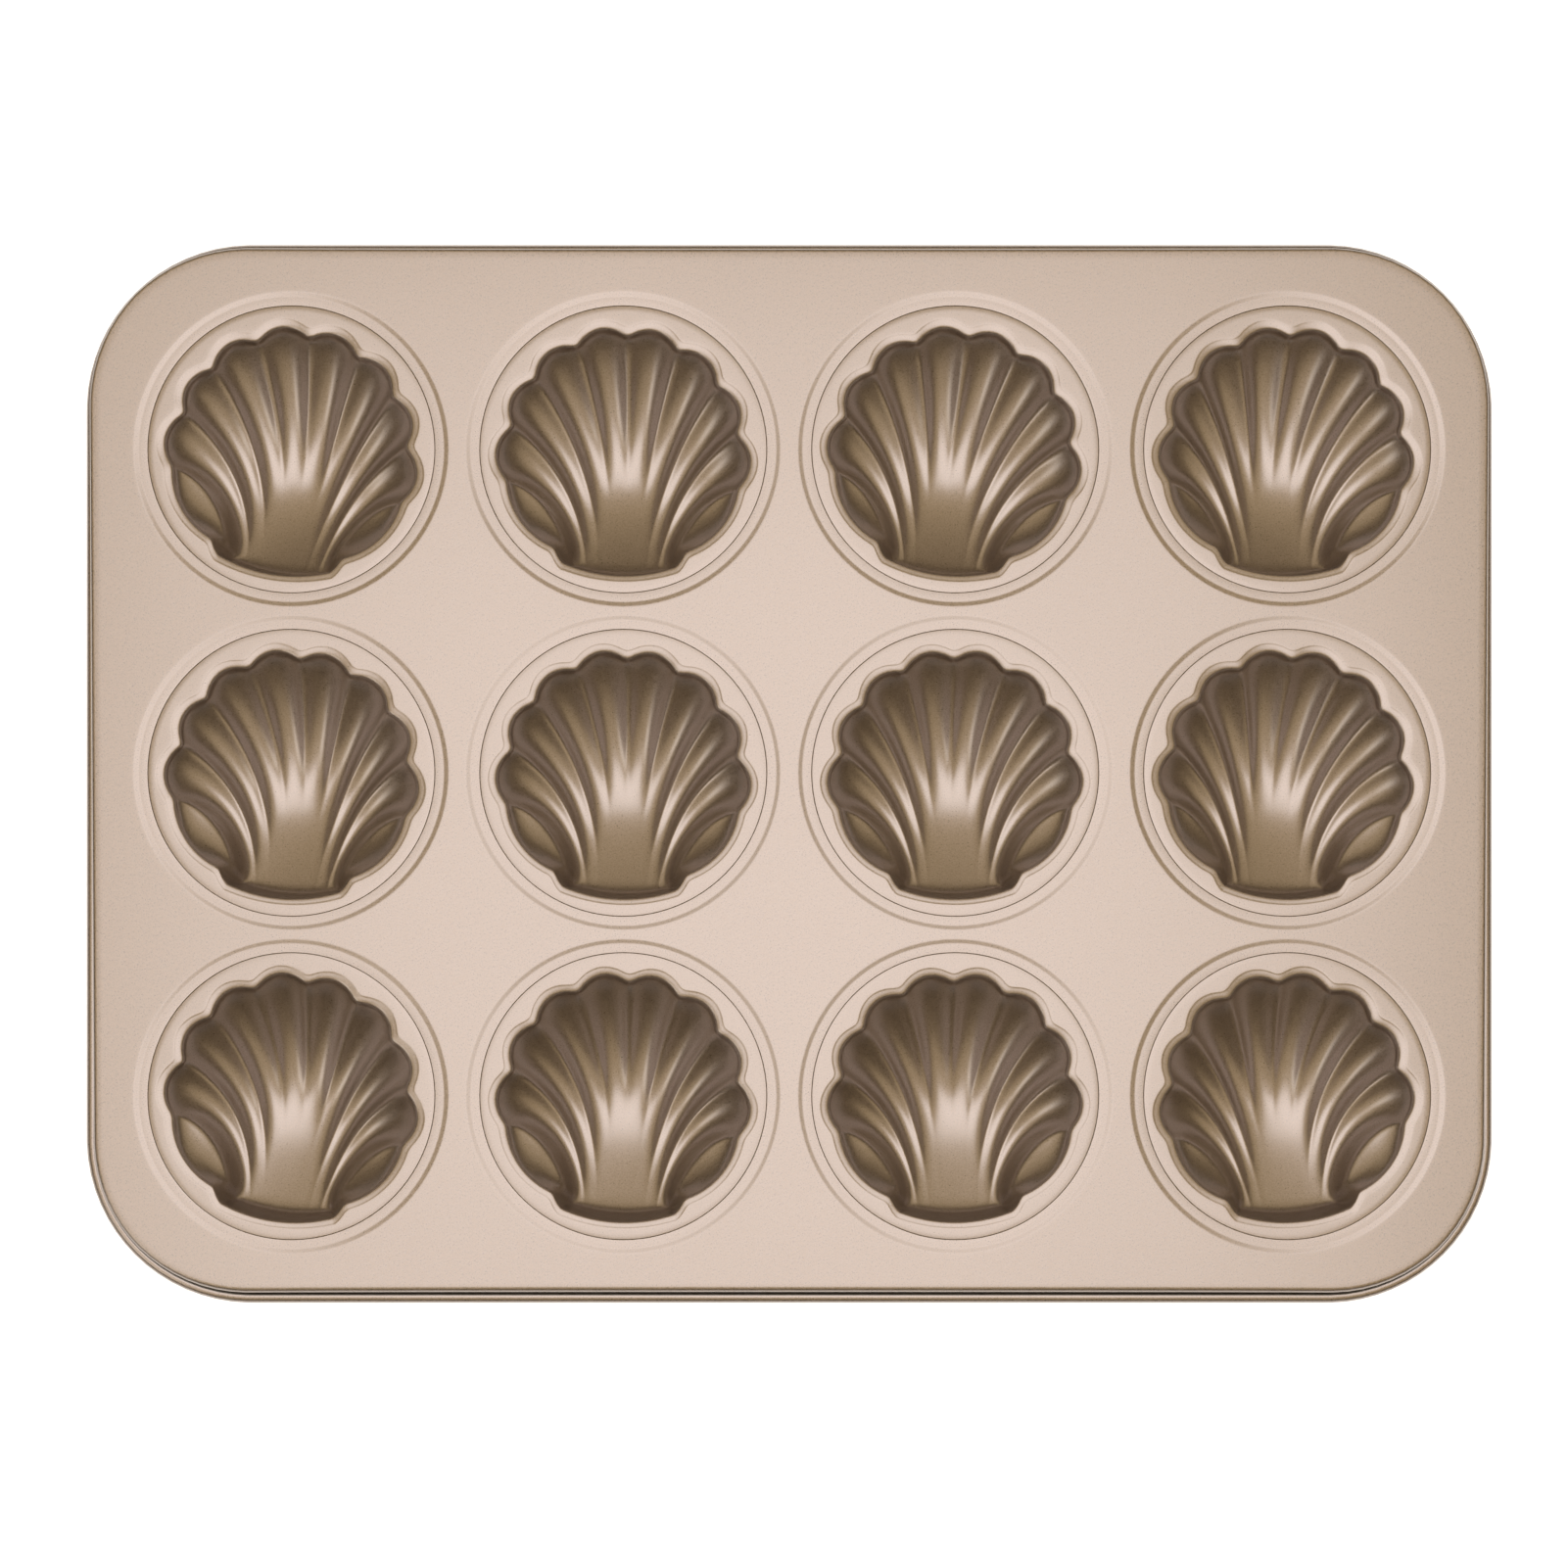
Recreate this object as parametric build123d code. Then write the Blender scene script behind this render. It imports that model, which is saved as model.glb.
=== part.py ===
from build123d import *
import math
import os

import numpy as np

os.makedirs("parts", exist_ok=True)

# Madeleine pan: a pressed steel tray with twelve separately pressed shell cups seamed into it.
# Millimetres. +Z is up, +X is the long side, -Y is the side that the shells' hinges point to.
# The origin is on the surface that the pan stands on, under the middle of the tray.

# Round seats pressed into the tray, one for each cup, and the seam between a cup and its seat
seam_radius = 35.5
seam_gap = 0.1
seat_land_width = 2.1
seat_step_width = 1.2
seat_step_bend = 3.0
seat_rim_width = 0.8
seat_drop = 0.3

# Tray: gaps between neighbouring seats, and margins from the outer seats to the tray's edge
tray_gauge = 0.5
corner_radius = 41.0
column_gap = 4.5
row_gap = 2.4
end_margin = 13.05
side_margin = 12.95

# Rolled edge
edge_bend_radius = 2.6
edge_flat_width = 1.0
curl_centre_drop = 4.9
curl_gap = 0.5
wire_diameter = 2.3
wire_clearance = 0.05

# Shell cups
cup_gauge = 0.4
cup_depth = 18.5

# Clockwise turn of each cup in degrees; rows run from the back to the front
cup_turns = (
    (8.8, 2.1, 6.8, 1.9),
    (4.2, 1.9, -0.3, 2.8),
    (7.5, 2.8, -0.5, -3.9),
)

# Outline of a shell where its wall starts, by inset from the seam and clockwise
# angle from the top of the fan
lobes = 8
fan_half_angle = 106.4
notch_inset = 7.1
last_notch_inset = 5.1
lobe_bulge = 3.65
ear_angle = 146.9
ear_inset = 5.7
ear_bulge = 3.0
hinge_angle = 153.6
hinge_inset = 3.5
hinge_side_bulge = 0.3
hinge_end_bulge = 2.7
lip_roll = 1.6
flange_inset = 1.5

# Floor of a shell: the flutes run on curves from the outline to the hinge end
bowl_y = -3.0
bowl_power_share = 0.75
cone_share = 0.3
cone_bend_share = 0.4
hinge_floor_half = 12.0
hinge_floor_y = -27.8
hinge_floor_bow = 1.7
fan_pull_x = 14.5
fan_pull_bend = 3.0
fan_pull_y = 2.0
fan_pull_drop = 11.5
hinge_rise_share = 0.42
hinge_bend_share = 0.5

# Ridges between the flutes, from the middle of the fan outwards
ridge_heights = (2.9, 2.9, 2.9, 3.1)
ridge_end_shares = (0.8, 0.82, 0.94, 1.0)
ridge_power_share = 2.5
ear_ridge_height = 5.0
ear_channel_depth = 1.0
ear_channel_width_share = 0.08

# Where along a flute one patch of the surface ends and the next begins
roll_share = 0.04
wall_share = 0.28
hinge_share = 0.927

# Hem of a cup and the fold of the tray that holds it
hem_depth = 3.8
hem_return = 1.6
fold_clearance = 0.1
bend_radius = 0.15

# Sizes that follow from those above
flange_radius = seam_radius - flange_inset
seat_step_radius = seam_radius + seat_land_width
seat_outer_radius = seat_step_radius + seat_step_width
column_pitch = 2 * seat_outer_radius + column_gap
row_pitch = 2 * seat_outer_radius + row_gap
rows = len(cup_turns)
columns = len(cup_turns[0])
pan_length = (columns - 1) * column_pitch + 2 * (seat_outer_radius + end_margin)
pan_width = (rows - 1) * row_pitch + 2 * (seat_outer_radius + side_margin)


def direction(angle):
    """Unit vector at a clockwise angle in degrees from +Y."""
    return np.array([math.sin(math.radians(angle)), math.cos(math.radians(angle))])


def arc_points(start, end, bulge, shares):
    """Points on the circular arc from start to end, spaced by angle; it bulges away from the centre."""
    chord = end - start
    half = np.hypot(*chord) / 2
    radius = (half**2 + bulge**2) / (2 * bulge)
    along = chord / (2 * half)
    outward = np.array([-along[1], along[0]])
    centre = (start + end) / 2 + outward * (bulge - radius)
    reach = math.asin(min(half / radius, 1.0))
    turn = reach * (2 * shares - 1)
    return centre + radius * (np.outer(np.sin(turn), along) + np.outer(np.cos(turn), outward))


def notch(index, grow):
    """Inner corner of the outline before lobe number index, with the outline grown outwards."""
    inset = last_notch_inset if index in (0, lobes) else notch_inset
    return direction(fan_half_angle * (2 * index / lobes - 1)) * (seam_radius - inset + grow)


def outline(segment, index, shares, grow):
    """Points on one segment of a shell's outline, clockwise; shares run from 0 to 1 along it."""
    last = notch(lobes, grow)
    ear = direction(ear_angle) * (seam_radius - ear_inset + grow)
    corner = direction(hinge_angle) * (seam_radius - hinge_inset + grow)
    if segment == "lobe":
        return arc_points(notch(index, grow), notch(index + 1, grow), lobe_bulge, shares)
    if segment == "ear":
        return arc_points(last, ear, ear_bulge, shares)
    if segment == "side":
        return arc_points(ear, corner, hinge_side_bulge, shares)
    along_end = (lobes - 1 - index + shares) / lobes
    return arc_points(corner, corner * np.array([-1, 1]), hinge_end_bulge, along_end)


def fan_plan(index, shares, along):
    """Plan of the flute lines: each runs on a quadratic curve from the outline to the hinge end."""
    lip = outline("lobe", index, shares, 0)[:, None, :]
    across = 2 * (index + shares) / lobes - 1
    pull_x = fan_pull_x * across + fan_pull_bend * across**5
    pull = np.stack([pull_x, fan_pull_y - fan_pull_drop * across**2], axis=-1)[:, None, :]
    end_y = hinge_floor_y - hinge_floor_bow * (1 - across**2)
    end = np.stack([hinge_floor_half * across, end_y], axis=-1)[:, None, :]
    t = (along**2)[None, :, None]
    return (1 - t) ** 2 * lip + 2 * t * (1 - t) * pull + t**2 * end


def rounded_cone(share, bend_share):
    """Rise of a cone from 0 at its tip to 1 at a share of 1; the tip is rounded off."""
    return (np.sqrt(share**2 + bend_share**2) - bend_share) / (math.sqrt(1 + bend_share**2) - bend_share)


def bowl_depth(plan, lip):
    """Depth of the flutes' floor: between a bowl and a cone, and rising again to the hinge end."""
    reach = np.hypot(lip[..., 0], np.maximum(lip[..., 1] - bowl_y, 0))
    radius = np.hypot(plan[..., 0], np.maximum(plan[..., 1] - bowl_y, 0)) / reach
    to_hinge = np.minimum(plan[..., 1] - bowl_y, 0) / (hinge_floor_y - bowl_y)
    rise = hinge_rise_share * rounded_cone(to_hinge, hinge_bend_share)
    cone = 1 - rounded_cone(radius, cone_bend_share)
    bowl = np.maximum(1 - radius**2, 0) ** bowl_power_share
    return cup_depth * (cone_share * cone + (1 - cone_share) * bowl) * (1 - rise)


def hump_share(x, first, last):
    """x^first (1 - x)^last, scaled to a peak of 1."""
    peak = first / (first + last)
    return x**first * (1 - x) ** last / (peak**first * (1 - peak) ** last)


def ridge_height(number, along):
    """Height of a ridge over the flutes' floor, counted from the middle of the fan outwards."""
    if number == len(ridge_heights):
        start = np.clip((along - wall_share / 2) / (hinge_share / 2), 0, 1)
        end = np.minimum((1 - along) / (1 - hinge_share), 1)
        return ear_ridge_height * np.sin(start * math.pi / 2) ** 2 * end
    x = np.minimum(along / ridge_end_shares[number], 1) ** 2
    return ridge_heights[number] * hump_share(x, 1, 2)


def fan_points(index, shares, along):
    """Points on the inside of one flute, for shares across it and along it."""
    plan = fan_plan(index, shares, along)
    lip = outline("lobe", index, shares, 0)[:, None, :]
    middle = lobes // 2
    left = ridge_height(abs(index - middle), along)[None, :]
    right = ridge_height(abs(index + 1 - middle), along)[None, :]
    across = shares[:, None]
    ridge = left * (1 - across) ** ridge_power_share + right * across**ridge_power_share
    depth = bowl_depth(plan, lip) - ridge
    return np.concatenate([plan, -depth[..., None]], axis=-1)


def wall_points(segment, index, shares, down, foot, channel_share):
    """Points on a wall from the outline to a foot line, shaped like the fan's last ridge line, which
    leans one way on the right of the cup and the other way on the left."""
    along_end = (lobes - 1 - index + shares) / lobes
    lean = 1 - 2 * along_end if segment == "end" else np.ones(len(shares))
    along = roll_share + (wall_share - roll_share) * down
    ear_line = fan_points(lobes - 1, np.array([1.0]), np.append(along, 0.0))[0]
    ear_plan = ear_line[:, 0] + 1j * ear_line[:, 1]
    inward = (ear_plan[:-1] - ear_plan[-1]) / (ear_plan[-2] - ear_plan[-1])
    inward = inward.real[None, :] + 1j * lean[:, None] * inward.imag[None, :]
    channel = (np.sin(math.pi * shares) * channel_share)[:, None] * hump_share(down, 3, 1)[None, :]
    top = outline(segment, index, shares, 0) @ np.array([1, 1j])
    bottom = foot[:, :2] @ np.array([1, 1j])
    plan = top[:, None] + (bottom - top)[:, None] * (inward + ear_channel_width_share * channel)
    depth = ear_line[:-1, 2] / ear_line[-2, 2] * -foot[:, None, 2] + ear_channel_depth * channel
    return np.stack([plan.real, plan.imag, -depth], axis=-1)


def roll_points(segment, index, shares, wall_top, down):
    """Points on the lip, rolled on a quadratic curve from the flat flange into the wall."""
    flat = np.zeros((len(shares), 1))
    flange = np.concatenate([outline(segment, index, shares, lip_roll), flat], axis=1)[:, None, :]
    lip = np.concatenate([outline(segment, index, shares, 0), flat], axis=1)[:, None, :]
    t = down[None, :, None]
    return (1 - t) ** 2 * flange + 2 * t * (1 - t) * lip + t**2 * wall_top[:, None, :]


def nodes(degree):
    """Places from 0 to 1, closer at the ends, that a patch of this degree is worked out at."""
    return (1 - np.cos(math.pi * np.arange(degree + 1) / degree)) / 2


def bernstein(degree):
    """Bernstein polynomials of this degree at its nodes, and their slopes there."""
    x = nodes(degree)[:, None]
    k = np.arange(degree + 1)[None, :]
    binomial = np.array([math.comb(degree, i) for i in range(degree + 1)])[None, :]
    lower = np.array([math.comb(degree - 1, i) for i in range(degree)])[None, :]
    values = binomial * x**k * (1 - x) ** (degree - k)
    parts = lower * x ** k[:, :-1] * (1 - x) ** (degree - 1 - k[:, :-1])
    gap = np.zeros((degree + 1, 1))
    slopes = degree * (np.hstack([gap, parts]) - np.hstack([parts, gap]))
    return values, slopes


def control_points(points):
    """Control points of the Bezier patch that passes through a grid of points."""
    u = np.linalg.inv(bernstein(points.shape[0] - 1)[0])
    v = np.linalg.inv(bernstein(points.shape[1] - 1)[0])
    return np.einsum("ij,jkc,lk->ilc", u, points, v)


def patch_normals(points):
    """Unit normals, towards the inside of the cup, at a patch's grid of points."""
    u_values, u_slopes = bernstein(points.shape[0] - 1)
    v_values, v_slopes = bernstein(points.shape[1] - 1)
    u = np.einsum("ij,jkc->ikc", u_slopes @ np.linalg.inv(u_values), points)
    v = np.einsum("ij,kjc->kic", v_slopes @ np.linalg.inv(v_values), points)
    normal = np.cross(v, u)
    return normal / np.linalg.norm(normal, axis=-1, keepdims=True)


across_degree = 6
roll_degree = 3
wall_degree = 5
bowl_degree = 9
hinge_degree = 4


def between(start, end, degree):
    """The nodes of a degree, stretched from start to end."""
    return start + (end - start) * nodes(degree)


def half_shell_patches():
    """Grids of points for the ear and the hinge's side wall on the right of a shell."""
    edge = np.array([1.0])
    down = nodes(wall_degree)
    patches = []
    for segment, start, end, degree, channel_share in (
        ("ear", wall_share, hinge_share, bowl_degree, 1),
        ("side", hinge_share, 1, hinge_degree, 0),
    ):
        foot = fan_points(lobes - 1, edge, between(start, end, degree))[0]
        wall = wall_points(segment, 0, nodes(degree), down, foot, channel_share)
        patches.append(roll_points(segment, 0, nodes(degree), wall[:, 0], nodes(roll_degree)))
        patches.append(wall)
    return patches


def shell_patches():
    """Grids of points for the whole inside of a shell, each clockwise and then inwards."""
    shares = nodes(across_degree)
    edge = np.array([1.0])
    patches = []
    for index in range(lobes):
        for start, end, degree in (
            (roll_share, wall_share, wall_degree),
            (wall_share, hinge_share, bowl_degree),
            (hinge_share, 1, hinge_degree),
        ):
            patches.append(fan_points(index, shares, between(start, end, degree)))
        wall_top = patches[-3][:, 0]
        patches.append(roll_points("lobe", index, shares, wall_top, nodes(roll_degree)))
        foot = fan_points(index, shares[::-1], edge)[:, 0]
        wall = wall_points("end", index, shares, nodes(wall_degree), foot, 0)
        patches.append(wall)
        patches.append(roll_points("end", index, shares, wall[:, 0], nodes(roll_degree)))
    for patch in half_shell_patches():
        patches.append(patch)
        patches.append(patch[::-1] * np.array([-1, 1, 1]))
    return patches


def outer_patches(patches):
    """The same patches moved out by the gauge; where patches meet, along the mean of their normals."""
    sums = {}
    keys = [[tuple(np.round(p / cup_gauge, 2)) for p in patch.reshape(-1, 3)] for patch in patches]
    normals = [patch_normals(patch).reshape(-1, 3) for patch in patches]
    for patch_keys, patch_normal in zip(keys, normals):
        for key, normal in zip(patch_keys, patch_normal):
            total, count = sums.get(key, (np.zeros(3), 0))
            sums[key] = (total + normal, count + 1)
    moved = []
    for patch, patch_keys in zip(patches, keys):
        means = np.array([sums[key][0] / sums[key][1] for key in patch_keys])
        shift = means / np.sum(means**2, axis=1, keepdims=True)
        moved.append(patch - cup_gauge * shift.reshape(patch.shape))
    return moved


def bezier_faces(patches):
    """One face for each grid of points."""
    return [Face.make_bezier_surface(control_points(patch).tolist()) for patch in patches]


def flange_face(patches):
    """Flat ring between the shell's outline and the flange radius, at the height of the given rolls."""
    edges = [Edge.make_bezier(*control_points(patch)[:, 0].tolist()) for patch in patches]
    height = patches[0][0, 0, 2]
    rim = Wire([Edge.make_circle(flange_radius, Plane.XY.offset(height))])
    return Face(rim, [Wire(edges)])


def section(*corners):
    """Sheet-metal section turned about the vertical axis, from corners (radius, height, bend)."""
    points = [(r, z) for r, z, bend in corners]
    line = FilletPolyline(*points, radius=[bend for r, z, bend in corners], close=True)
    return revolve(Plane.XZ * make_face(line), axis=Axis.Z)


def cup_hem():
    """Flange edge of a cup, turned down and hemmed inwards."""
    outer = seam_radius - seam_gap / 2
    outside = cup_gauge + bend_radius / 2
    top = -hem_depth + hem_return
    fold = 2 * bend_radius
    return section(
        (flange_radius, 0, 0),
        (outer, 0, outside),
        (outer, -hem_depth, outside),
        (outer - 2 * cup_gauge - fold, -hem_depth, outside),
        (outer - 2 * cup_gauge - fold, top, 0),
        (outer - cup_gauge - fold, top, 0),
        (outer - cup_gauge - fold, -hem_depth + cup_gauge, bend_radius / 2),
        (outer - cup_gauge, -hem_depth + cup_gauge, bend_radius / 2),
        (outer - cup_gauge, -cup_gauge, bend_radius),
        (flange_radius, -cup_gauge, 0),
    )


def shell_cup():
    """One pressed cup in its own frame, its flange's top at height zero."""
    inside = shell_patches()
    outside = outer_patches(inside)
    hem = cup_hem().faces()
    open_side = hem.filter_by(GeomType.CYLINDER).sort_by(lambda face: face.radius)[0]
    faces = bezier_faces(inside) + bezier_faces(outside) + hem.filter_by(lambda f: f != open_side)
    rolls = [i for i, patch in enumerate(inside) if patch.shape[1] == roll_degree + 1]
    faces.append(flange_face([inside[i] for i in rolls]))
    faces.append(flange_face([outside[i] for i in rolls]))
    return Solid(Shell(faces))


def seat_section():
    """A tray's round seat: step, land, collar, and the fold that grips the cup's hem."""
    inner = seam_radius + seam_gap / 2
    hem_inside = seam_radius - seam_gap / 2 - 2 * cup_gauge - 2 * bend_radius
    leg = hem_inside - fold_clearance
    floor = -hem_depth - fold_clearance
    roof = -hem_depth + hem_return + fold_clearance
    outside = tray_gauge + bend_radius
    rim = seat_outer_radius + seat_rim_width
    return section(
        (rim, seat_drop, 0),
        (seat_outer_radius, seat_drop, seat_step_bend),
        (seat_step_radius, 0, seat_step_bend),
        (inner, 0, outside),
        (inner, floor, bend_radius),
        (leg, floor, bend_radius),
        (leg, roof, bend_radius),
        (hem_inside + cup_gauge, roof, 0),
        (hem_inside + cup_gauge, roof + tray_gauge, 0),
        (leg - tray_gauge, roof + tray_gauge, outside),
        (leg - tray_gauge, floor - tray_gauge, outside),
        (inner + tray_gauge, floor - tray_gauge, outside),
        (inner + tray_gauge, -tray_gauge, bend_radius),
        (seat_step_radius, -tray_gauge, seat_step_bend),
        (seat_outer_radius, seat_drop - tray_gauge, seat_step_bend),
        (rim, seat_drop - tray_gauge, 0),
    )


curl_inside = wire_diameter / 2 + wire_clearance
curl_outside = curl_inside + tray_gauge
skirt_inset = curl_outside + curl_inside
flat_inset = skirt_inset + edge_bend_radius + edge_flat_width


def rim_section():
    """Section of the tray's edge, as (inset, height): flat, bend, skirt and curl round the wire."""
    bend = Vector(skirt_inset + edge_bend_radius, -edge_bend_radius)
    curl = Vector(curl_outside, -curl_centre_drop)
    opening = math.degrees(math.acos((curl_inside - curl_gap) / curl_outside))
    tip = Vector(math.cos(math.radians(opening)), math.sin(math.radians(opening)))
    skirt_back = skirt_inset + tray_gauge
    lines = [
        Line((flat_inset, 0), (bend.X, 0)),
        CenterArc(bend, edge_bend_radius, 90, 90),
        Line((skirt_inset, bend.Y), (skirt_inset, curl.Y)),
        CenterArc(curl, curl_inside, 0, opening - 360),
        Line(curl + tip * curl_inside, curl + tip * curl_outside),
        CenterArc(curl, curl_outside, opening, 360 - opening),
        Line((skirt_back, curl.Y), (skirt_back, bend.Y)),
        CenterArc(bend, edge_bend_radius - tray_gauge, 180, -90),
        Line((bend.X, -tray_gauge), (flat_inset, -tray_gauge)),
        Line((flat_inset, -tray_gauge), (flat_inset, 0)),
    ]
    return make_face(lines)


def wire_section():
    """Section of the rim wire, as (inset, height)."""
    return Pos(curl_outside, -curl_centre_drop) * Circle(wire_diameter / 2)


def around(face):
    """The face, drawn as (inset, height), carried round the edge of the tray: four like quarters."""
    start = Vector(0, -pan_width / 2)
    corner = Vector(pan_length / 2 - corner_radius, corner_radius - pan_width / 2)
    path = Wire([
        Line(start, (corner.X, start.Y)),
        CenterArc(corner, corner_radius, -90, 90),
        Line((pan_length / 2, corner.Y), (pan_length / 2, 0)),
    ])
    quarter = sweep(Plane.YZ.shift_origin(start) * face, path=path)
    half = quarter + mirror(quarter, Plane.YZ)
    return half + mirror(half, Plane.XZ)


def cup_places():
    """Row, column, middle and clockwise turn of every cup."""
    for row, turns in enumerate(cup_turns):
        for column, turn in enumerate(turns):
            x = (column - (columns - 1) / 2) * column_pitch
            y = ((rows - 1) / 2 - row) * row_pitch
            yield row + 1, column + 1, Pos(x, y) * Rot(Z=-turn)


def tray_sheet():
    """The pressed tray in its own frame, the lands of its seats at height zero."""
    plate_size = (pan_length - 2 * flat_inset, pan_width - 2 * flat_inset)
    plate = extrude(RectangleRounded(*plate_size, corner_radius - flat_inset), -tray_gauge)
    hole = extrude(Circle(seat_outer_radius + seat_rim_width), -tray_gauge)
    seat = seat_section()
    places = [place for row, column, place in cup_places()]
    tray = Pos(0, 0, seat_drop) * (plate - [place * hole for place in places] + around(rim_section()))
    return tray + [place * seat for place in places]


cup = shell_cup()
land = Pos(0, 0, -cup.bounding_box().min.Z)
pieces = {
    "tray_sheet": tray_sheet(),
    "rim_wire": Pos(0, 0, seat_drop) * around(wire_section()),
}
for row, column, place in cup_places():
    pieces[f"shell_cup_r{row}c{column}"] = place * cup
for name, piece in pieces.items():
    export_step(land * piece, f"parts/{name}.step")
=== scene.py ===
import math

import bpy
import numpy as np
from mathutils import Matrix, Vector


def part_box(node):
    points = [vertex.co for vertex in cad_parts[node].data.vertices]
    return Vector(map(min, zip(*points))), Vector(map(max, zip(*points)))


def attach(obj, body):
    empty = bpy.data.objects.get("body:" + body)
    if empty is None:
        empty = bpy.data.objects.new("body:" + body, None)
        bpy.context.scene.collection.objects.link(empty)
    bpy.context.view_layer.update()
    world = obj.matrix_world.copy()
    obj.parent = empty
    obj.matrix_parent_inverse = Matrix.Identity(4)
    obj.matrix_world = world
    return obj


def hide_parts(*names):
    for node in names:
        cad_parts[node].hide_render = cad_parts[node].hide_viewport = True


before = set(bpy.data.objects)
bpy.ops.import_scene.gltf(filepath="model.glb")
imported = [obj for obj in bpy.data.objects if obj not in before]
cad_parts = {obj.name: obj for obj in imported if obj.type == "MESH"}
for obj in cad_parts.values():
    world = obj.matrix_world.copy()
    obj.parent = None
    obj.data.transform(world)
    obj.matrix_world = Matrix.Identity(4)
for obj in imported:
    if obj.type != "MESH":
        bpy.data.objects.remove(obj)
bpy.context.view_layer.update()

# Studio: pale paper on the floor and round it, a white softbox, a wide warm ceiling
# light and a small key light. The camera looks squarely down from 0.6 m over the
# pan's upper face and stands a little in front of its middle, so the frame is shifted.
mm = 0.001
plate_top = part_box("tray_sheet")[1][2]
camera_height = 0.6
sensor_width = 36
frame_width = 0.3876
frame_middle = (-0.0013, -0.0028)
camera_y = -0.042
room_tone = (1, 0.69, 0.32, 1)
room_strength = 0.12

camera_data = bpy.data.cameras.new("camera")
camera_data.sensor_width = sensor_width
camera_data.lens = sensor_width * camera_height / frame_width
camera_data.shift_y = (frame_middle[1] - camera_y) / frame_width
camera = bpy.data.objects.new("camera", camera_data)
camera.location = (frame_middle[0], camera_y, plate_top + camera_height)
bpy.context.scene.collection.objects.link(camera)
bpy.context.scene.camera = camera

lamps = (
    ("softbox", (-0.025, 0.0, 1.15), 1.05, 1.8, (0.97, 1, 1.09)),
    ("ceiling", (0.0, 0.0, 1.25), 3.6, 0.7, (1, 0.8, 0.46)),
    ("key", (-0.8, -0.6, 0.8), 0.4, 2.0, (1, 1, 1)),
)
for name, place, size, radiance, colour in lamps:
    light_data = bpy.data.lights.new(name, "AREA")
    light_data.size = size
    light_data.color = colour
    light_data.energy = radiance * math.pi * size**2
    light = bpy.data.objects.new(name, light_data)
    light.location = place
    if name == "key":
        light.rotation_euler = Vector(place).to_track_quat("Z", "Y").to_euler()
    bpy.context.scene.collection.objects.link(light)

world = bpy.data.worlds.new("studio")
world.use_nodes = True
room = world.node_tree.nodes["Background"]
room.inputs["Color"].default_value = room_tone
room.inputs["Strength"].default_value = room_strength
bpy.context.scene.world = world
bpy.context.scene.view_settings.view_transform = "Standard"


def make_mesh(name, points, quads):
    """A smooth-shaded mesh from an array of points in millimetres and an array of four-sided faces."""
    mesh = bpy.data.meshes.new(name)
    mesh.vertices.add(len(points))
    mesh.vertices.foreach_set("co", (points * mm).astype(np.float32).ravel())
    mesh.loops.add(quads.size)
    mesh.loops.foreach_set("vertex_index", quads.astype(np.int32).ravel())
    mesh.polygons.add(len(quads))
    mesh.polygons.foreach_set("loop_start", np.arange(0, quads.size, 4, dtype=np.int32))
    mesh.update(calc_edges=True)
    mesh.shade_smooth()
    return mesh


def make_object(name, mesh):
    """The mesh as an object at the origin, in the scene."""
    thing = bpy.data.objects.new(name, mesh)
    bpy.context.scene.collection.objects.link(thing)
    return thing


def link(tree, source, target):
    """Joins an output socket to an input socket."""
    tree.links.new(source, target)


def math_node(tree, operation, *values):
    """A math node's output; each value is a socket or a number."""
    node = tree.nodes.new("ShaderNodeMath")
    node.operation = operation
    for socket, value in zip(node.inputs, values):
        if isinstance(value, (int, float)):
            socket.default_value = value
        else:
            link(tree, value, socket)
    return node.outputs["Value"]


paper_half = 4000
paper_rise = 450
paper_glow = 0.75
floor_corners = np.array([[-1, -1, 0], [1, -1, 0], [1, 1, 0], [-1, 1, 0]]) * paper_half
floor_points = np.concatenate([floor_corners, floor_corners + np.array([0, 0, paper_rise])])
floor_quads = np.array([[0, 1, 2, 3], [0, 4, 5, 1], [1, 5, 6, 2], [2, 6, 7, 3], [3, 7, 4, 0]])
floor = make_object("floor", make_mesh("floor", floor_points, floor_quads))
floor.data.shade_flat()
paper = bpy.data.materials.new("floor_paper")
paper.use_nodes = True
tree = paper.node_tree
shader = tree.nodes["Principled BSDF"]
shader.inputs["Base Color"].default_value = (0.6, 0.6, 0.6, 1)
shader.inputs["Roughness"].default_value = 0.9
shader.inputs["Specular IOR Level"].default_value = 0.1
shader.inputs["Emission Color"].default_value = (1, 1, 1, 1)
sight = tree.nodes.new("ShaderNodeLightPath").outputs
seen = math_node(tree, "MAXIMUM", sight["Is Camera Ray"], sight["Is Glossy Ray"])
seen = math_node(tree, "MAXIMUM", seen, sight["Is Transmission Ray"])
link(tree, math_node(tree, "MULTIPLY", seen, paper_glow), shader.inputs["Emission Strength"])
floor.data.materials.append(paper)


# Release coat: the thin champagne-gold baked coat on the tray and the cups.
# It is a metallic lacquer under a clear one. Its fine grain and the cloudy drift of
# its tone are one node group, which both materials use, each with its own grain.
coat_tone = (0.28, 0.225, 0.2)
coat_cloud = 0.06
coat_roughness = 0.38
gloss_share = 0.5
grain_scale = 2600
cloud_scale = 22
relief_strength = 0.3
relief_depth = 0.00002
lacquer_index = 1.9
lacquer_roughness = 0.28
metal_share = 0.95


def group_socket(tree, name, kind, direction, value=None):
    """A named socket on a node group, with its starting value."""
    socket = tree.interface.new_socket(name=name, in_out=direction, socket_type=kind)
    if value is not None:
        socket.default_value = value


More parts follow.
